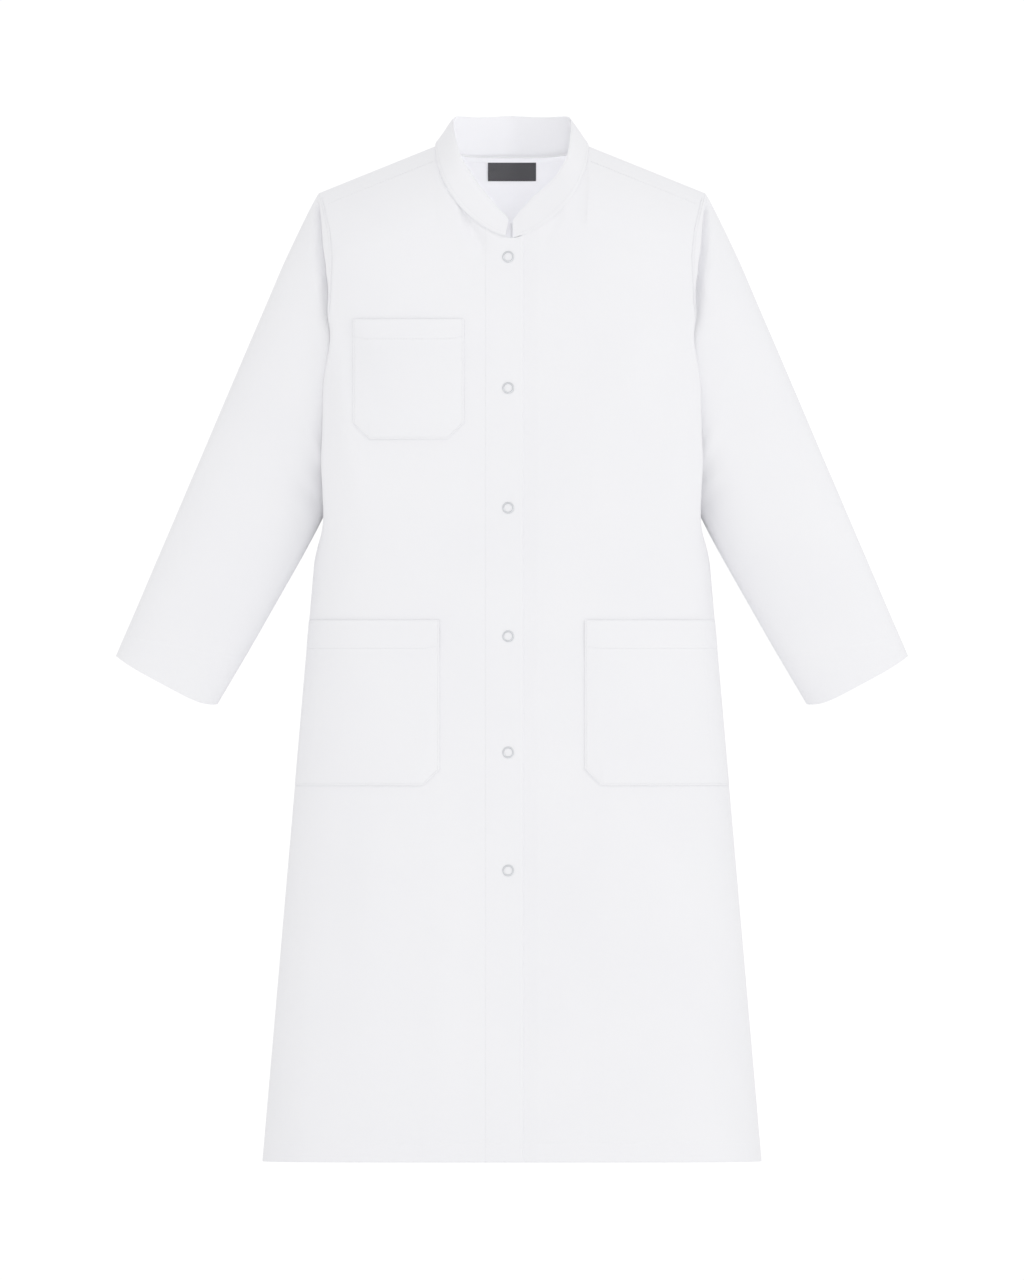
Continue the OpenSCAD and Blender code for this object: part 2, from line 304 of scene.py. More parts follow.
def front_y(x, z, side):
    """Outer face of the front at a distance x from the centre line."""
    return -front_depth(x, z) - front_drape(x, z, side) + dip(x, side)


def pulled_side(x, c, z):
    """Draws the sides in under the arms."""
    share = np.clip((c - fold_top[0]) / (shoulder_half - fold_top[0]), 0, 1)
    s = np.arcsin(share) * 2 / math.pi
    return x - hollow(z) * ease((s - 0.72) / 0.28)


# ==== meshes ====
def make_mesh(name, vertices, faces, material, uv=None, smooth_angle=45):
    mesh = bpy.data.meshes.new(name)
    mesh.from_pydata((np.asarray(vertices) * MM).tolist(), [], [list(f) for f in faces])
    mesh.validate()
    if uv is not None:
        layer = mesh.uv_layers.new(name="cloth")
        index = np.zeros(len(mesh.loops), int)
        mesh.loops.foreach_get("vertex_index", index)
        layer.data.foreach_set("uv", (np.asarray(uv)[index] * MM).ravel())
    mesh.polygons.foreach_set("use_smooth", [True] * len(mesh.polygons))
    mesh.set_sharp_from_angle(angle=math.radians(smooth_angle))
    mesh.materials.append(material)
    piece = bpy.data.objects.new(name, mesh)
    bpy.context.scene.collection.objects.link(piece)
    return piece


def grid_normals(points, ring):
    if ring:
        across = np.roll(points, -1, axis=1) - np.roll(points, 1, axis=1)
    else:
        across = np.gradient(points, axis=1)
    return unit(np.cross(across, np.gradient(points, axis=0)))


def lengths_along(points):
    """Lengths in both directions of a grid, used as the cloth's own coordinates."""
    across = np.linalg.norm(np.diff(points, axis=1), axis=2)
    down = np.linalg.norm(np.diff(points, axis=0), axis=2)
    u = np.concatenate([np.zeros((points.shape[0], 1)), np.cumsum(across, axis=1)], axis=1)
    v = np.concatenate([np.zeros((1, points.shape[1])), np.cumsum(down, axis=0)], axis=0)
    middle = u[:, u.shape[1] // 2:u.shape[1] // 2 + 1]
    return np.stack([u - middle, v], axis=-1)


def ply_mesh(name, outer, towards, material, thick=cloth, ring=False, normals=None):
    """One ply of cloth from a grid of points on its outer face.

    towards is a rough direction, or one per point, that the outer face looks in.
    thick is a number, or one per point.
    """
    rows, columns = outer.shape[:2]
    own_normals = normals is not None
    facing = np.sum(grid_normals(outer, ring) * towards, axis=-1).mean()
    if own_normals:
        normals = normals * np.sign(np.sum(normals * towards, axis=-1).mean())
    else:
        normals = grid_normals(outer, ring) * (1 if facing > 0 else -1)
    inner = outer - normals * np.broadcast_to(thick, (rows, columns))[..., None]
    vertices = np.concatenate([outer.reshape(-1, 3), inner.reshape(-1, 3)])
    uv = np.tile(lengths_along(outer).reshape(-1, 2), (2, 1))
    shift = rows * columns
    around = columns if ring else columns - 1
    faces = []
    for j in range(rows - 1):
        for i in range(around):
            k = (i + 1) % columns
            quad = (j * columns + i, j * columns + k, (j + 1) * columns + k, (j + 1) * columns + i)
            faces.append(quad)
            faces.append(tuple(shift + v for v in reversed(quad)))
    if ring:
        edges = [(j * columns + i, j * columns + (i + 1) % columns)
                 for j in (0, rows - 1) for i in range(columns)]
    else:
        loop = [i for i in range(columns)]
        loop += [j * columns + columns - 1 for j in range(1, rows)]
        loop += [(rows - 1) * columns + i for i in range(columns - 2, -1, -1)]
        loop += [j * columns for j in range(rows - 2, 0, -1)]
        edges = list(zip(loop, loop[1:] + loop[:1]))
    first = [tuple(f) for f in faces[::2]]
    directed = set()
    for quad in first:
        directed.update(zip(quad, quad[1:] + quad[:1]))
    for a, b in edges:
        if (a, b) not in directed:
            a, b = b, a
        faces.append((b, a, a + shift, b + shift))
    if facing < 0:
        faces = [tuple(reversed(f)) for f in faces]
    piece = make_mesh(name, vertices, faces, material, uv)
    if own_normals:
        mesh = piece.data
        both = np.concatenate([normals.reshape(-1, 3), -normals.reshape(-1, 3)])
        corner = np.zeros(len(mesh.loops), int)
        mesh.loops.foreach_get("vertex_index", corner)
        shown = both[corner]
        rim = np.zeros((len(mesh.loops), 3), np.float32)
        mesh.corner_normals.foreach_get("vector", rim.ravel())
        first_rim = 4 * (len(faces) - len(edges))
        shown[first_rim:] = rim[first_rim:]
        mesh.normals_split_custom_set(shown.tolist())
    return piece


def mirrored(points, side):
    return points * np.array([side, 1.0, 1.0])


def declare(piece, body, nodes=()):
    if nodes:
        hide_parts(*nodes)
    if body is not None:
        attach(piece, body)
    return piece


# ==== materials ====
def new_material(name):
    material = bpy.data.materials.new(name)
    material.use_nodes = True
    tree = material.node_tree
    tree.nodes.clear()
    return material, tree


def add_node(tree, kind, settings=None, **inputs):
    """Adds a node. settings are its properties, and an input is a value or an output to link."""
    node = tree.nodes.new(kind)
    for key, value in (settings or {}).items():
        setattr(node, key, value)
    for key, value in inputs.items():
        number = key.startswith("i_")
        socket = node.inputs[int(key[2:])] if number else node.inputs[key.replace("_", " ")]
        if isinstance(value, bpy.types.NodeSocket):
            tree.links.new(value, socket)
        else:
            socket.default_value = value
    return node


def surface(tree, colour, rough, bump=None, **values):
    shader = add_node(tree, "ShaderNodeBsdfPrincipled", **values)
    for key, value in (("Base Color", colour), ("Roughness", rough), ("Normal", bump)):
        if isinstance(value, bpy.types.NodeSocket):
            tree.links.new(value, shader.inputs[key])
        elif value is not None:
            shader.inputs[key].default_value = value
    output = tree.nodes.new("ShaderNodeOutputMaterial")
    tree.links.new(shader.outputs[0], output.inputs[0])
    return shader


def woven(tree, warp_mm, weft_mm):
    """Height of a plain weave on the cloth's own coordinates, from 0 to 1."""
    place = add_node(tree, "ShaderNodeUVMap", {"uv_map": "cloth"})
    apart = add_node(tree, "ShaderNodeSeparateXYZ", i_0=place.outputs[0])
    waves = []
    for output, pitch in ((0, warp_mm), (1, weft_mm)):
        turn = add_node(tree, "ShaderNodeMath", {"operation": "MULTIPLY"},
                        i_0=apart.outputs[output], i_1=2 * math.pi / (pitch * MM))
        waves.append(add_node(tree, "ShaderNodeMath", {"operation": "SINE"}, i_0=turn.outputs[0]))
    both = add_node(tree, "ShaderNodeMath", {"operation": "MULTIPLY"},
                    i_0=waves[0].outputs[0], i_1=waves[1].outputs[0])
    return add_node(tree, "ShaderNodeMath", {"operation": "MULTIPLY_ADD"},
                    i_0=both.outputs[0], i_1=0.5, i_2=0.5).outputs[0]


def bleached_poplin():
    """Bleached cotton and polyester poplin: matt, slightly cool white, with a faint nap.

    Its threads are 0.25 mm apart, too fine to show, so the weave is drawn at 1.3 mm.
    """
    material, tree = new_material("bleached_poplin")
    height = woven(tree, 1.3, 1.3)
    place = add_node(tree, "ShaderNodeTexCoord")
    slub = add_node(tree, "ShaderNodeTexNoise", Vector=place.outputs["Object"], Scale=260.0,
                    Detail=3.0, Roughness=0.6)
    tone = add_node(tree, "ShaderNodeTexNoise", Vector=place.outputs["Object"], Scale=9.0,
                    Detail=2.0)
    colour = add_node(tree, "ShaderNodeMix", {"data_type": "RGBA"}, i_0=tone.outputs[0],
                      i_6=linear("#f0f0f3"), i_7=linear("#f4f4f6"))
    weave = add_node(tree, "ShaderNodeBump", Height=height, Strength=0.12, Distance=0.15 * MM)
    fuzz = add_node(tree, "ShaderNodeBump", Height=slub.outputs[0], Strength=0.2,
                    Distance=0.25 * MM, Normal=weave.outputs[0])
    surface(tree, colour.outputs[2], 0.86, fuzz.outputs[0],
            Sheen_Weight=0.12, Sheen_Roughness=0.5, Specular_IOR_Level=0.25)
    return material


def spun_thread():
    """Spun polyester sewing thread: white, a little glossier than the cloth it lies on."""
    material, tree = new_material("spun_polyester_thread")
    place = add_node(tree, "ShaderNodeTexCoord")
    twist = add_node(tree, "ShaderNodeTexNoise", Vector=place.outputs["Object"], Scale=2500.0)
    bump = add_node(tree, "ShaderNodeBump", Height=twist.outputs[0], Strength=0.3,
                    Distance=0.1 * MM)
    surface(tree, linear("#ececef"), 0.55, bump.outputs[0], Specular_IOR_Level=0.4)
    return material


def woven_label():
    """Damask-woven polyester label: charcoal, fine ribs, a soft satin sheen."""
    material, tree = new_material("damask_label")
    height = woven(tree, 0.9, 0.6)
    colour = add_node(tree, "ShaderNodeMix", {"data_type": "RGBA"}, i_0=height,
                      i_6=linear("#333236"), i_7=linear("#403f43"))
    bump = add_node(tree, "ShaderNodeBump", Height=height, Strength=0.4, Distance=0.12 * MM)
    surface(tree, colour.outputs[2], 0.6, bump.outputs[0], Sheen_Weight=0.2)
    return material


def nickel_plate():
    """Nickel-plated brass of the snaps: grey metal, brushed by tumbling."""
    material, tree = new_material("nickel_plated_brass")
    place = add_node(tree, "ShaderNodeTexCoord")
    grain = add_node(tree, "ShaderNodeTexNoise", Vector=place.outputs["Object"], Scale=1800.0,
                     Detail=4.0)
    rough = add_node(tree, "ShaderNodeMapRange", Value=grain.outputs[0],
                     i_3=0.28, i_4=0.46)
    bump = add_node(tree, "ShaderNodeBump", Height=grain.outputs[0], Strength=0.15,
                    Distance=0.05 * MM)
    surface(tree, linear("#d6d8db"), rough.outputs[0], bump.outputs[0], Metallic=1.0)
    return material


def painted_floor():
    material, tree = new_material("matt_white_floor")
    place = add_node(tree, "ShaderNodeTexCoord")
    tone = add_node(tree, "ShaderNodeTexNoise", Vector=place.outputs["Object"], Scale=2.0)
    colour = add_node(tree, "ShaderNodeMix", {"data_type": "RGBA"}, i_0=tone.outputs[0],
                      i_6=linear("#fbfbfb"), i_7=linear("#fefefe"))
    surface(tree, colour.outputs[2], 0.9)
    return material


poplin = bleached_poplin()
thread_white = spun_thread()
label_cloth = woven_label()
nickel = nickel_plate()

# ==== stitching ====
# Each seam is a line of points on the cloth. Seams that move together share one piece.
seams = {}


def sew(group, points, side=1):
    """Adds a row of stitches along points, which lie on the outer face of the cloth."""
    seams.setdefault(group, []).append(mirrored(np.asarray(points, float), side))


def stitch_tree():
    """Geometry nodes that lay a short round stitch at every pitch along a seam."""
    tree = bpy.data.node_groups.new("row_of_stitches", "GeometryNodeTree")
    face = tree.interface
    face.new_socket("Seam", in_out="INPUT", socket_type="NodeSocketGeometry")
    for name in ("Pitch", "Stitch length", "Thread radius"):
        face.new_socket(name, in_out="INPUT", socket_type="NodeSocketFloat")
    face.new_socket("Thread", in_out="INPUT", socket_type="NodeSocketMaterial")
    face.new_socket("Stitches", in_out="OUTPUT", socket_type="NodeSocketGeometry")
    start = tree.nodes.new("NodeGroupInput").outputs
    line = add_node(tree, "GeometryNodeMeshToCurve", Mesh=start["Seam"])
    dots = add_node(tree, "GeometryNodeCurveToPoints", {"mode": "LENGTH"},
                    Curve=line.outputs[0], Length=start["Pitch"])
    stitch = add_node(tree, "GeometryNodeMeshCylinder", Vertices=6,
                      Radius=start["Thread radius"], Depth=start["Stitch length"])
    placed = add_node(tree, "GeometryNodeInstanceOnPoints", Points=dots.outputs["Points"],
                      Instance=stitch.outputs["Mesh"], Rotation=dots.outputs["Rotation"])
    real = add_node(tree, "GeometryNodeRealizeInstances", i_0=placed.outputs[0])
    coloured = add_node(tree, "GeometryNodeSetMaterial", Geometry=real.outputs[0],
                        Material=start["Thread"])
    end = tree.nodes.new("NodeGroupOutput")
    tree.links.new(coloured.outputs[0], end.inputs[0])
    return tree


def make_stitches(name, lines, tree):
    """Turns rows of points into one plain mesh of stitches."""
    vertices, edges = [], []
    for line in lines:
        start = len(vertices)
        vertices += (line * MM).tolist()
        edges += [(start + i, start + i + 1) for i in range(len(line) - 1)]
    mesh = bpy.data.meshes.new(name + "_seams")
    mesh.from_pydata(vertices, edges, [])
    carrier = bpy.data.objects.new(name + "_seams", mesh)
    bpy.context.scene.collection.objects.link(carrier)
    modifier = carrier.modifiers.new("stitches", "NODES")
    modifier.node_group = tree
    sizes = {"Pitch": stitch_pitch * MM, "Stitch length": stitch_length * MM,
             "Thread radius": thread / 2 * MM, "Thread": thread_white}
    for item in tree.interface.items_tree:
        if item.name in sizes:
            modifier[item.identifier] = sizes[item.name]
    depsgraph = bpy.context.evaluated_depsgraph_get()
    made = bpy.data.meshes.new_from_object(carrier.evaluated_get(depsgraph))
    made.name = name
    made.polygons.foreach_set("use_smooth", [len(p.vertices) == 4 for p in made.polygons])
    bpy.data.objects.remove(carrier)
    piece = bpy.data.objects.new(name, made)
    bpy.context.scene.collection.objects.link(piece)
    return piece


def blend_front(piece):
    """Bakes the piece's placement into its mesh."""
    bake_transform(piece)


# ==== front panels ====
down_steps = np.concatenate([
    [0, 0.25, 0.7, 1.4, 2.4, 3.8, 5.6, 8, 11, 12, 12.6, 13, 13.4, 14, 15, 18.5, 23],
    np.arange(28, -hem_z - 26, grid_step),
])


def rows_from(top, bottom, seam_above_hem):
    """Heights down a column: close together at the top, at the hem's seam and at the hem."""
    total = top - bottom
    low = spaced(0, seam_above_hem + 6, 4.5, [seam_above_hem])[::-1]
    low = np.concatenate([low[low > 3], [2.2, 1.2, 0.5, 0.0]])
    steps = down_steps * ((-hem_z - low[0]) / down_steps[-1] * 0.995)
    shares = np.concatenate([steps, -hem_z - low]) / -hem_z
    return top - total * np.asarray(shares).reshape((-1,) + (1,) * np.ndim(top))


def side_profile(c, z=-600.0):
    share = (c - facing_inner) / (shoulder_half - facing_inner)
    x = mix(facing_inner, full_width(z), share)
    return np.stack([x, front_depth(x, z)], axis=-1)


def front_columns(inner):
    wide = even_in_length(side_profile, facing_inner + 3, shoulder_half, grid_step)
    neck = even_in_length(lambda x: np.stack([x, neck_front_z(x)], axis=-1), 62, neck_half, 3.0)
    neck = np.concatenate([neck, [81.8, 83.4]])
    wide = close_at_armhole(clear_of(wide, neck))
    strip = spaced(inner, facing_inner + 3, grid_step, [facing_inner])
    edge = inner + np.array([0.35, 1.0, 2.2])
    strip = strip[(strip < inner + 0.1) | (strip > inner + 3)]
    return np.array(sorted(set(np.concatenate([strip, edge, neck, wide]))))


def front_surface(c, z, side):
    """Outer face of the front panel, with its seams, at column c and height z."""
    share = np.clip((c - facing_inner) / (shoulder_half - facing_inner), 0, 1)
    flat_x = np.where(c < facing_inner, c, mix(facing_inner, full_width(z), share))
    y = front_y(flat_x, z, side)
    points = np.stack([pulled_side(flat_x, c, z), y, z], axis=-1)
    inner = -(over_reach if side == RIGHT else under_reach)
    groove = (0.06 if side == RIGHT else 0.0) * hill(c - facing_inner, 0.7)
    groove = groove + 0.12 * hill(z - hem_z - hem_turning, 0.7)
    below_ridge = ridge_z(flat_x) - z
    groove = groove + 0.35 * hill(below_ridge - shoulder_seam, 0.7) * ease((c - neck_half) / 4)
    if side == RIGHT:
        groove = groove + 0.9 * hill(neck_front_z(flat_x) - z, 2.2) * (c < neck_half)
    at_armhole = ease((z + 200) / 20) * ease((-46 - z) / 5)
    groove = groove + 0.7 * hill(shoulder_half - armhole_stitch - c, 0.8) * at_armhole
    edge = 0.9 * hill(c - inner, 0.8) + 0.5 * hill(z - hem_z, 0.8)
    points[..., 1] -= ripple(points) * ease((c - 34) / 30) - groove - edge
    return points


for side in (RIGHT, LEFT):
    name = SIDE_NAME[side]
    columns = front_columns(-(over_reach if side == RIGHT else under_reach))
    z = rows_from(top_front_z(columns), hem_z, hem_turning)
    c = np.broadcast_to(columns, z.shape)
    points = front_surface(c, z, side)
    across = front_surface(c + 0.2, z, side) - front_surface(c - 0.2, z, side)
    normals = unit(np.cross(across, front_surface(c, z - 0.2, side) - points))
    piece = ply_mesh(f"front_{name}", mirrored(points, side), [0, -1, 0], poplin,
                     normals=mirrored(normals, side))
    declare(piece, None, nodes=(f"front_panel_{name}", f"front_edge_{name}"))
    blend_front(piece)
    if side == RIGHT:
        sew("front_right", points[2:-2, np.argmin(abs(columns - facing_inner))], side)


# ==== facings behind the front edges ====
def facing_grid(side):
    inner = -(over_reach if side == RIGHT else under_reach) + 0.4
    c = spaced(inner, facing_inner - 0.4, grid_step)[None, :]
    z = rows_from(neck_front_z(c[0]) - 2, hem_z + 0.6, hem_turning)
    x = np.broadcast_to(c, z.shape)
    return np.stack([x, front_y(x, z, side) + cloth + 0.1, z], axis=-1)


for side in (RIGHT, LEFT):
    name = SIDE_NAME[side]
    points = facing_grid(side)
    piece = ply_mesh(f"front_facing_{name}", mirrored(points, side), [0, -1, 0], poplin)
    declare(piece, None, nodes=(f"facing_{name}",))
    blend_front(piece)


# ==== back panels ====
def back_grid(side):
    def profile(c, z=-600.0):
        x = full_width(z) * c / shoulder_half
        return np.stack([x, back_depth(x, z)], axis=-1)

    wide = even_in_length(profile, 0, shoulder_half, grid_step)
    neck = np.array([74, 76.5, 78.5, 79.8, 80.6, 81.0, 81.8, 83.4])
    wide = close_at_armhole(clear_of(wide, neck))
    seam = np.array([0.5, 1.2, 2.2, 7.0])
    c = np.array(sorted(set(np.concatenate([wide, neck, seam]))))[None, :]
    z = rows_from(top_back_z(c[0]), hem_z, hem_turning)
    flat_x = full_width(z) * c / shoulder_half
    y = back_depth(flat_x, z) + back_drape(flat_x, z, side)
    x = pulled_side(flat_x, np.broadcast_to(c, z.shape), z)
    points = np.stack([x, y, z], axis=-1)
    groove = 0.9 * hill(c, 0.9) + 0.4 * hill(c - 7, 0.7)
    groove = groove + 0.12 * hill(z - hem_z - hem_turning, 0.7)
    points[..., 1] += ripple(points) * ease(c / 30) - groove
    return points, c[0]


for side in (RIGHT, LEFT):
    name = SIDE_NAME[side]
    points, columns = back_grid(side)
    piece = ply_mesh(f"back_{name}", mirrored(points, side), [0, 1, 0], poplin)
    declare(piece, "coat_body", nodes=(f"back_panel_{name}",))
    sew("body", points[2:-2, np.argmin(abs(columns - 7))], side)


# ==== collar ====
# around is in degrees: 0 at the centre front, 90 at the neck point and 180 at the back.
turns_known = [0, 16, 33, 48, 60, 75, 90, 105, 120, 135, 180]
up = [19, 20.3, 20, 23.5, 28, 29.5, 25, 30, 36.5, 40.5, 44]
lean_in = [0, 12, 21, 21, 18, 19, 19, 16.7, 12, 5, 0]
lean_back = [8, 10, 13, 16, 13, 8, 2, -1, -3, -5, -6]
left_open = [0, 3, 3, -5, -5, -2, 0, 0, 0, 0, 0]
collar_start = {RIGHT: 5.0, LEFT: 1.2}


def around_table(around, values):
    """Values between the known turns of the collar, without corners."""
    wide = np.linspace(0, 180, 400)
    curve = np.interp(wide, turns_known, values)
    kernel = np.hanning(31)
    padded = np.pad(curve, 15, mode="reflect", reflect_type="odd")
    return np.interp(around, wide, np.convolve(padded, kernel / kernel.sum(), mode="valid"))


def collar_point(around, h, side):
    """Middle of the collar's two plies, at a share h of its height."""
    x = neck_half * np.sin(np.radians(around))
    front = around <= 90
    z = np.where(front, neck_front_z(x), neck_back_z(x))
    y = np.where(front, -front_depth(x, z), back_depth(x, z))
    curl = h ** 1.15
    lean = around_table(around, lean_in) + (around_table(around, left_open) if side == LEFT else 0)
    return np.stack([
        x - lean * curl,
        y + around_table(around, lean_back) * curl + collar_dip(x, around, h, side),
        z + around_table(around, up) * h + 0.2,
    ], axis=-1)


def collar_dip(x, around, h, side):
    """The under front's collar meets its own front at the seam and comes forward above it."""
    soft = 1.2 * ease((29 - x) / 20) * (side == LEFT)
    return (soft + (dip(x, side) - soft) * ease(1 - h / 0.035)) * (around < 60)


def collar_grid(side, inside):
    start = collar_start[side]
    turns = even_in_length(lambda a: collar_point(a, 0.5 + 0 * a, side), start, 180, 3.0)
    heights = np.array([0, 0.02, 0.05, 0.09, 0.16, 0.28, 0.42, 0.56, 0.7, 0.82,
                        0.9, 0.95, 0.98, 1])
    around, h = np.meshgrid(turns, heights[::-1])
    end_round = 4.0 * hill(around - start, 1.2) / collar_height
    middle = collar_point(around, h * (1 - end_round * h ** 6), side)
    normals = grid_normals(middle, False)
    outwards = middle * [1, 1, 0]
    outwards = normals * np.sign(np.sum(normals * outwards, axis=-1).mean())
    body = ease(h / 0.06) * ease((1 - h) / 0.05)
    if side == RIGHT:
        middle = middle - outwards * (1.6 * hill(h - 0.42, 0.2) * hill(around - 52, 28))[..., None]
    fuller = 0.6 * ease((150 - around) / 60) * (side == RIGHT and not inside)
    puff = 0.1 + (0.9 + fuller) * body
    if inside:
        return middle - outwards * puff[..., None] * 0.25, turns, -outwards
    return middle + outwards * (puff * 0.75 + 0.25)[..., None], turns, outwards


def collar_part(side, inside, front):
    """The collar from the front edge to the neck point, or from there to the centre back."""
    points, turns, outwards = collar_grid(side, inside)
    cut = np.argmin(abs(turns - 90))
    part = slice(None, cut + 1) if front else slice(cut, None)
    return mirrored(points[:, part], side), outwards[:, part] * [side, 1, 1]


for inside in (False, True):
    ply_name = "inner" if inside else "outer"
    for side in (RIGHT, LEFT):
        name = SIDE_NAME[side]
        points, outwards = collar_part(side, inside, True)
        piece = ply_mesh(f"collar_{ply_name}_ply_{name}", points, outwards, poplin, thick=0.6)
        declare(piece, None, nodes=(f"collar_{ply_name}_{name}",))
        blend_front(piece)
        if not inside:
            sew(f"front_{name}", points[-5, 1:])
    halves = [collar_part(side, inside, False) for side in (RIGHT, LEFT)]
    points, outwards = (np.concatenate([a, b[:, -2::-1]], axis=1) for a, b in zip(*halves))
    piece = ply_mesh(f"collar_{ply_name}_ply_back", points, outwards, poplin, thick=0.6)
    declare(piece, "coat_body", nodes=(f"collar_{ply_name}_back",))
    if not inside:
        sew("body", points[-5])


# ==== pockets ====
def pocket_place(side, x, z, inset, from_top, turning):
    """Outer face of a pocket, inset being the distance to its nearest sewn edge."""
    puff = 0.9 * ease(inset / 16) * ease(from_top / 60 + 0.3)
    turned = 0.3 * ease((turning - from_top) / 0.8 + 0.5)
    edge = 0.7 * hill(np.minimum(inset, from_top), 0.8)
    groove = 0.3 * hill(inset - edge_stitch, 0.7) + 0.2 * hill(from_top - turning, 0.7)
    height = cloth + 1.25 + puff + turned - edge - groove
    width = full_width(z)
    lean = 0.6 * ease((x / width - 0.6) / 0.4)
    y = front_y(np.minimum(x, width), z, side)
    return np.stack([x + height * lean, y - height * np.sqrt(1 - lean ** 2 * 0.9), z], axis=-1)


def pocket_grid(side, x0, x1, top, bottom, turning, far_cut):
    """x1 is a number, or None where the pocket runs into the side seam."""
    wide = (full_width(bottom) if x1 is None else x1) - x0
    near = np.array([0, 0.5, 1.2, 2.0, 2.8, 4.0, 6.5, 10.0, 13.5,
                     cut_corner - 0.5, cut_corner + 0.5])
    across = np.concatenate([near, np.arange(22, wide - 20, grid_step), wide - near[::-1]])
    s = (across / wide)[None, :]
    tall = top - bottom
    down = np.concatenate([[0, 0.5, 1.2, 2.4, 5], np.arange(9.5, tall - 6, grid_step),
                           tall - np.array([4.0, 2.8, 2.0, 1.2, 0.5, 0])])
    down = down[abs(down - turning) > 2.2]
    at_turning = turning + np.array([-1.6, -0.8, 0, 0.8, 1.6])
    down = np.array(sorted(set(np.concatenate([down, at_turning]))))
    fall = (down / tall)[:, None]
    level = top - tall * fall
    far = full_width(level) - seam_gap if x1 is None else x1
    x = x0 + (far - x0) * s
    cut = np.maximum(0, cut_corner - (x - x0))
    if far_cut:
        cut = cut + np.maximum(0, cut_corner - (far - x))
    z = top - (tall - cut) * fall
    above_edge = (z - bottom - cut) / np.where(cut > 0, 1.4, 1.0)
    inset = np.minimum(np.minimum(x - x0, far - x), above_edge)
    return pocket_place(side, x, z, inset, top - z, turning), (x, z, inset)


def make_pocket(name, side, box, turning, far_cut, node):
    x0, x1, top, bottom = box
    points, plan = pocket_grid(side, x0, x1, top, bottom, turning, far_cut)
    piece = ply_mesh(name, mirrored(points, side), [0, -1, 0], poplin, thick=1.1)
    declare(piece, "coat_body", nodes=(node,))
    rows, columns = points.shape[:2]
    inset = 3
    outline = [points[j, inset] for j in range(1, rows - inset)]
    outline += [points[rows - 1 - inset, i] for i in range(inset + 1, columns - inset)]
    outline += [points[j, columns - 1 - inset] for j in range(rows - 2 - inset, 0, -1)]
    sew("body", outline, side)
    seam_row = np.argmin(abs(top - turning - plan[1][:, columns // 2]))
    sew("body", points[seam_row, inset:-inset], side)


chest_box = (-chest_high[0], -chest_low[0], chest_high[2], chest_low[2])
make_pocket("pocket_chest", RIGHT, chest_box, chest_turning, True, "chest_pocket")
lower_box = (lower_low[0], None, lower_high[2], lower_low[2])
for side in (RIGHT, LEFT):
    make_pocket(f"pocket_lower_{SIDE_NAME[side]}", side, lower_box, lower_turning, False,
                f"lower_pocket_{SIDE_NAME[side]}")


# ==== back neck: facing, tape and label ====
def inside_back(x, z, depth):
    return np.stack([x, back_depth(x, z) - depth, z], axis=-1)


x, t = np.meshgrid(spaced(-73, 73, 4.0), np.linspace(0, 1, 22))
points = inside_back(x, neck_back_z(x) - 1.5 - 68 * t, cloth + 0.8)
piece = ply_mesh("facing_back_neck", points, [0, -1, 0], poplin)
declare(piece, "coat_body", nodes=("back_neck_facing",))

tape_width = 5.5
x, t = np.meshgrid(spaced(-76, 76, 4.0), np.array([0, 0.05, 0.15, 0.5, 0.85, 0.95, 1]))
tape_rise = 0.7 * np.sin(math.pi * t) ** 0.3
points = inside_back(x, neck_back_z(x) - 0.5 - tape_width * t, 2.1 + tape_rise)
piece = ply_mesh("neck_tape", points, [0, -1, 0], poplin, thick=0.5)
declare(piece, "coat_body")
sew("body", points[5], 1)
sew("body", points[1], 1)

x, z = np.meshgrid(spaced(-25.5, 25.5, 2.0), spaced(-29.2, -9.8, 2.0))
points = inside_back(x, z, 2.9)
piece = ply_mesh("label_neck", points, [0, -1, 0], label_cloth, thick=0.5)
declare(piece, "coat_body", nodes=("neck_label",))


# ==== sleeves ====
cuff_across = np.array([math.cos(cuff_slope), math.sin(cuff_slope)]) * cuff_half_width
underarm = np.array([full_width(underarm_z) - hollow(underarm_z) + 4, underarm_z - 3])
under_control = np.array([172.0, -346.0])
divide = 0.455
cap_share = 0.16
depth_shares, half_depths = [0, 0.25, 0.5, 1], [54, 48, 39, 27]


def sleeve_lines(k):
    """Outer and inner outline of the sleeve at a share k of its length."""
    k = np.asarray(k, float)[..., None]
    outer = mix(shoulder_point, cuff_middle + cuff_across, k)
    j = k ** 0.9
    shares = [(1 - j) ** 2, 6 * j * (1 - j), j ** 2]
    corners = [underarm, under_control, cuff_middle - cuff_across]
    inner = sum(w * p for w, p in zip(shares, corners)) / sum(shares)
    return outer, inner


def armhole_point(c, front):
    """Edge of the body cloth at the armhole, c from -1 at the underarm to 1 at the shoulder."""
    z = mix(underarm_z, -shoulder_drop - 0.1, (c + 1) / 2)
    width = full_width(z)
    x = width - hollow(z)
    depth = np.where(front, -front_depth(width, z), back_depth(width, z))
    return np.stack([x, depth, z], axis=-1)


def sleeve_point(k, turn):
    k = k - 0.006 * np.abs(np.cos(turn)) ** 4 * ease((k - 0.9) / 0.1)
    outer, inner = sleeve_lines(k)
    middle, run = (outer + inner) / 2, (outer - inner) / 2
    c, d = np.cos(turn), np.sin(turn)
    c_round = np.sign(c) * np.abs(c) ** 0.85
    d_round = np.sign(d) * np.abs(d) ** 0.85
    depth = np.interp(k, depth_shares, half_depths)
    flat = middle + run * c_round[..., None]
    tube = np.stack([flat[..., 0], -d_round * depth, flat[..., 1]], axis=-1)
    cap = armhole_point(c, d > 0)
    share = ease(k / cap_share)[..., None]
    return mix(cap, tube, share)


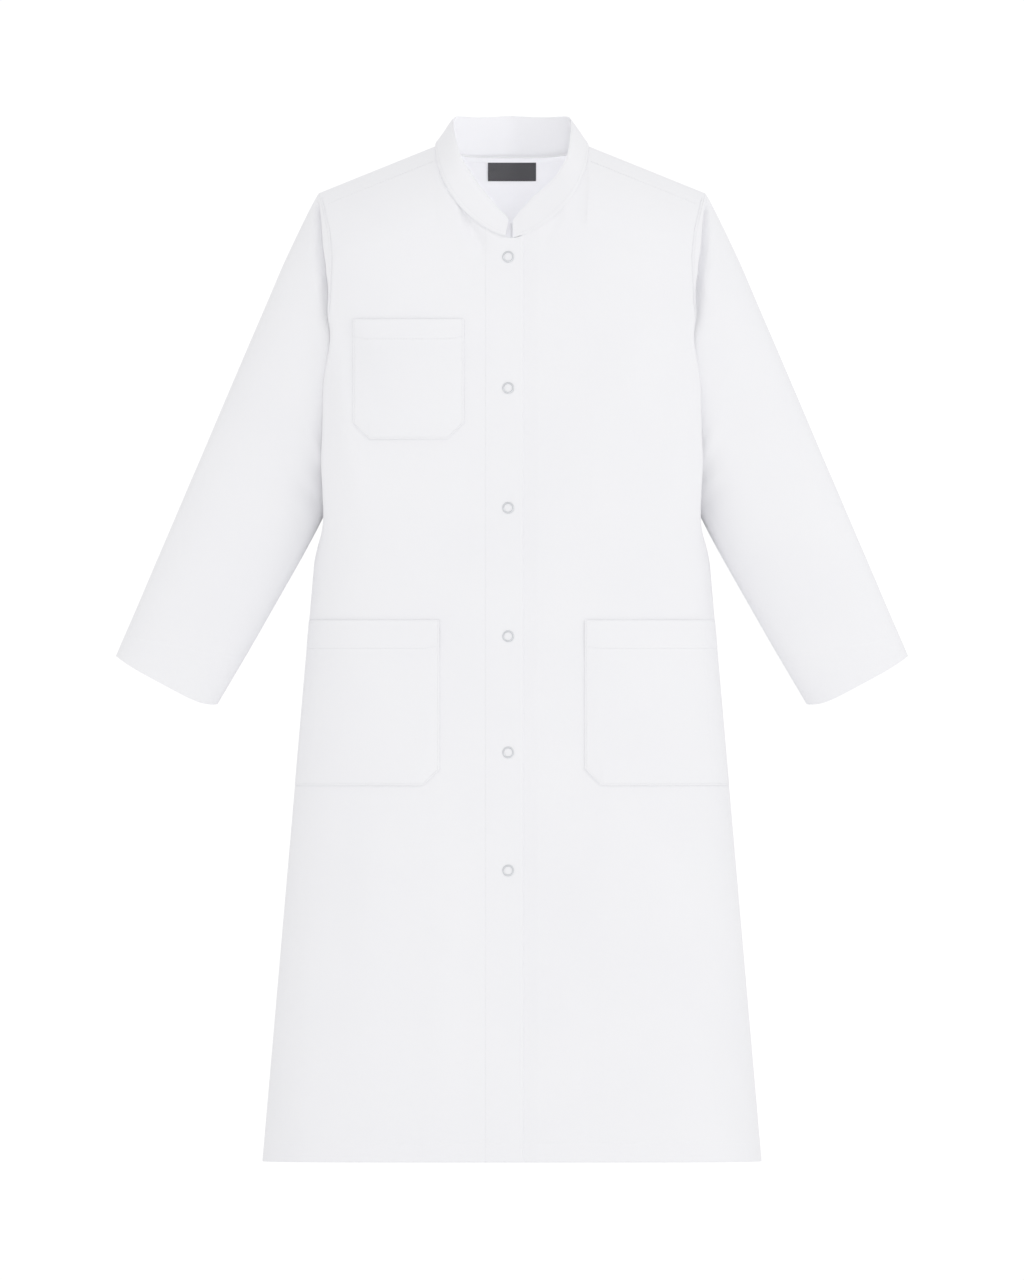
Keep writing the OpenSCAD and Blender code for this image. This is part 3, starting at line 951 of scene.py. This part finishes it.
# How far down the sleeve the fold beside the armhole lies, from the underarm to the shoulder.
armhole_places = [-0.5, -0.28, -0.03, 0.22, 0.58, 0.84, 1]
fold_places = [0, 0.03, 0.053, 0.073, 0.075, 0.058, 0.045]


def sleeve_folds(k, turn):
    """Folds of the sleeve, outwards: one beside the armhole seam and pulls at the elbow."""
    front = np.maximum(0, np.sin(turn))
    c = np.cos(turn)
    past = k - np.interp(c, armhole_places, fold_places)
    spread = np.where(past < 0, 0.009, mix(0.012, 0.065, ease(0.35 - 0.9 * c)))
    deep = mix(6.5, 15.0, ease((c + 0.35) / 0.5))
    seam = -deep * ease(k / 0.004) * hill(past, spread) * front ** 0.4 * ease((1 - c) / 0.1)
    seam = seam - 3.5 * hill(k - 0.05, 0.035) * np.maximum(0, -np.sin(turn)) ** 0.5
    pull = 1.8 * hill(k - 0.3 + 0.08 * c, 0.035) * ease(0.3 - c) * ease(k / 0.15)
    bend = 1.2 * np.sin(k * 48 + c * 2.2) * hill(k - 0.52, 0.1)
    bend = bend * ease(-c + 0.1) * ease((1 + c) / 0.4)
    long = 1.1 * np.sin(turn * 3 + k * 5) * ease((k - 0.1) / 0.3) * ease((1.05 - k) / 0.3)
    return seam + pull + bend + long * ease((1 - np.abs(c)) / 0.2)


sleeve_turns = np.linspace(0, 2 * math.pi, 90, endpoint=False)


def sleeve_grid(shares):
    k, turn = np.meshgrid(shares, sleeve_turns, indexing="ij")
    points = sleeve_point(k, turn)
    normals = grid_normals(points, True)
    away = np.stack([np.cos(turn), -np.sin(turn), 0.5 * np.cos(turn)], axis=-1)
    normals = normals * np.sign(np.sum(normals * away, axis=-1).mean())
    groove = 0.12 * hill((1 - k) * sleeve_length - cuff_turning, 0.8)
    under_seam = 0.8 * hill(turn - math.pi, 0.02)
    at_armhole = 1.1 * hill(k - 0.0015, 0.003)
    height = sleeve_folds(k, turn) + ripple(points) - groove - under_seam - at_armhole
    return points + normals * height[..., None], normals


near_seam = np.array([0, 0.001, 0.002, 0.0035, 0.005, 0.009, 0.014])
upper_shares = np.concatenate([
    near_seam, np.arange(0.019, 0.09, 0.003), np.arange(0.094, divide - 0.004, 0.009), [divide],
])
cuff_line = 1 - cuff_turning / sleeve_length
low_shares = np.arange(divide, 0.996, 0.0095)
low_shares = low_shares[abs(low_shares - cuff_line) > 0.006]
near_cuff = cuff_line + np.array([-0.004, -0.002, -0.0008, 0, 0.0008, 0.002, 0.004])
low_shares = np.array(sorted(set(np.concatenate([low_shares, near_cuff, [0.9965, 0.9985, 1.0]]))))
full_shares = np.concatenate([upper_shares, low_shares[1:]])
full_points, full_normals = sleeve_grid(full_shares)
split = len(upper_shares)

armhole_run = tip[[0, 2]] - underarm
armhole_out = np.array([-armhole_run[1], armhole_run[0]]) / np.linalg.norm(armhole_run)
if armhole_out[0] < 0:
    armhole_out = -armhole_out
elbow_down = np.cross(np.array(joints["left_elbow_bend"]["axis"]), np.array([0.0, 1.0, 0.0]))
elbow_down = elbow_down * (-1 if elbow_down[2] > 0 else 1)


for side in (RIGHT, LEFT):
    name = SIDE_NAME[side]
    outwards = full_normals * [side, 1, 1]
    upper = full_points[:split]
    piece = ply_mesh(f"sleeve_upper_{name}", mirrored(upper, side), outwards[:split],
                     poplin, ring=True)
    declare(piece, None, nodes=(f"upper_sleeve_{name}",))
    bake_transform(piece)

    lower = full_points[split - 1:]
    piece = ply_mesh(f"sleeve_lower_{name}", mirrored(lower, side), outwards[split - 1:],
                     poplin, ring=True)
    declare(piece, None, nodes=(f"lower_sleeve_{name}",))
    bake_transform(piece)


# ==== armhole and shoulder seams on the body ====
for side in (RIGHT, LEFT):
    z = np.linspace(-48, -175, 70)
    x = half_width(z) - armhole_stitch
    sew("body", np.stack([x, front_y(x, z, side) - 0.2, z], axis=-1), side)
    x = np.linspace(neck_half + 4, shoulder_half - 11, 60)
    z = ridge_z(x) - shoulder_seam - 2.5
    sew("body", np.stack([x, front_y(x, z, side) - 0.2, z], axis=-1), side)

# ==== rows of stitches ====
tree = stitch_tree()
for group, lines in seams.items():
    piece = make_stitches(f"stitches_{group}", lines, tree)
    if group.startswith("front_"):
        blend_front(piece)
    else:
        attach(piece, "coat_body")

# ==== snaps keep their shape and get their metal ====
for node in ("snap_rings", "snap_sockets", "snap_studs", "snap_stud_rings"):
    for material_slot in frame["nodes"][node].material_slots:
        material_slot.material = nickel

# ==== floor, light and camera ====
floor_drop = 0.5
floor_z = cad_box[0].z - floor_drop
bpy.ops.mesh.primitive_circle_add(vertices=128, radius=20, fill_type="NGON",
                                  location=(0, 0, floor_z))
floor = bpy.context.object
floor.name = "floor"
floor.data.materials.append(painted_floor())


def area_light(name, place, aim, size, power):
    data = bpy.data.lights.new(name, "AREA")
    data.shape, data.size, data.energy = "DISK", size, power
    lamp = bpy.data.objects.new(name, data)
    lamp.location = place
    lamp.visible_camera = False
    lamp.rotation_euler = (Vector(aim) - Vector(place)).to_track_quat("-Z", "Y").to_euler()
    bpy.context.scene.collection.objects.link(lamp)


coat_middle = (0, 0, -0.5)
area_light("key", (3.4, -2.4, 1.0), coat_middle, 1.6, 9)
area_light("inside", (0.09, -0.035, -0.33), (-0.03, 0.07, 0.0), 0.10, 0.36)
area_light("front", (1.0, -12.0, -0.2), coat_middle, 1.0, 95)

sky_strength, backdrop_strength = 0.897, 1.05
world = bpy.data.worlds.new("white_studio")
world.use_nodes = True
bpy.context.scene.world = world
sky = world.node_tree
sky.nodes.clear()
light = add_node(sky, "ShaderNodeBackground", Color=(1, 1, 1, 1), Strength=sky_strength)
seen = add_node(sky, "ShaderNodeBackground", Color=(1, 1, 1, 1), Strength=backdrop_strength)
path = add_node(sky, "ShaderNodeLightPath")
both = add_node(sky, "ShaderNodeMixShader", i_0=path.outputs["Is Camera Ray"],
                i_1=light.outputs[0], i_2=seen.outputs[0])
world_output = sky.nodes.new("ShaderNodeOutputWorld")
sky.links.new(both.outputs[0], world_output.inputs[0])
bpy.context.scene.view_settings.view_transform = "Standard"

camera_data = bpy.data.cameras.new("camera")
camera = bpy.data.objects.new("camera", camera_data)
bpy.context.scene.collection.objects.link(camera)
bpy.context.scene.camera = camera
camera_distance = 40.0
front_plane = -0.06
view_height = 1.3568
view_middle_z = -0.517
camera_data.sensor_width = 36.0
camera_data.lens = 36.0 * camera_distance / view_height
camera.location = (0.0, front_plane - camera_distance, view_middle_z)
camera.rotation_euler = (math.radians(90), 0, 0)
camera_data.clip_end = 300
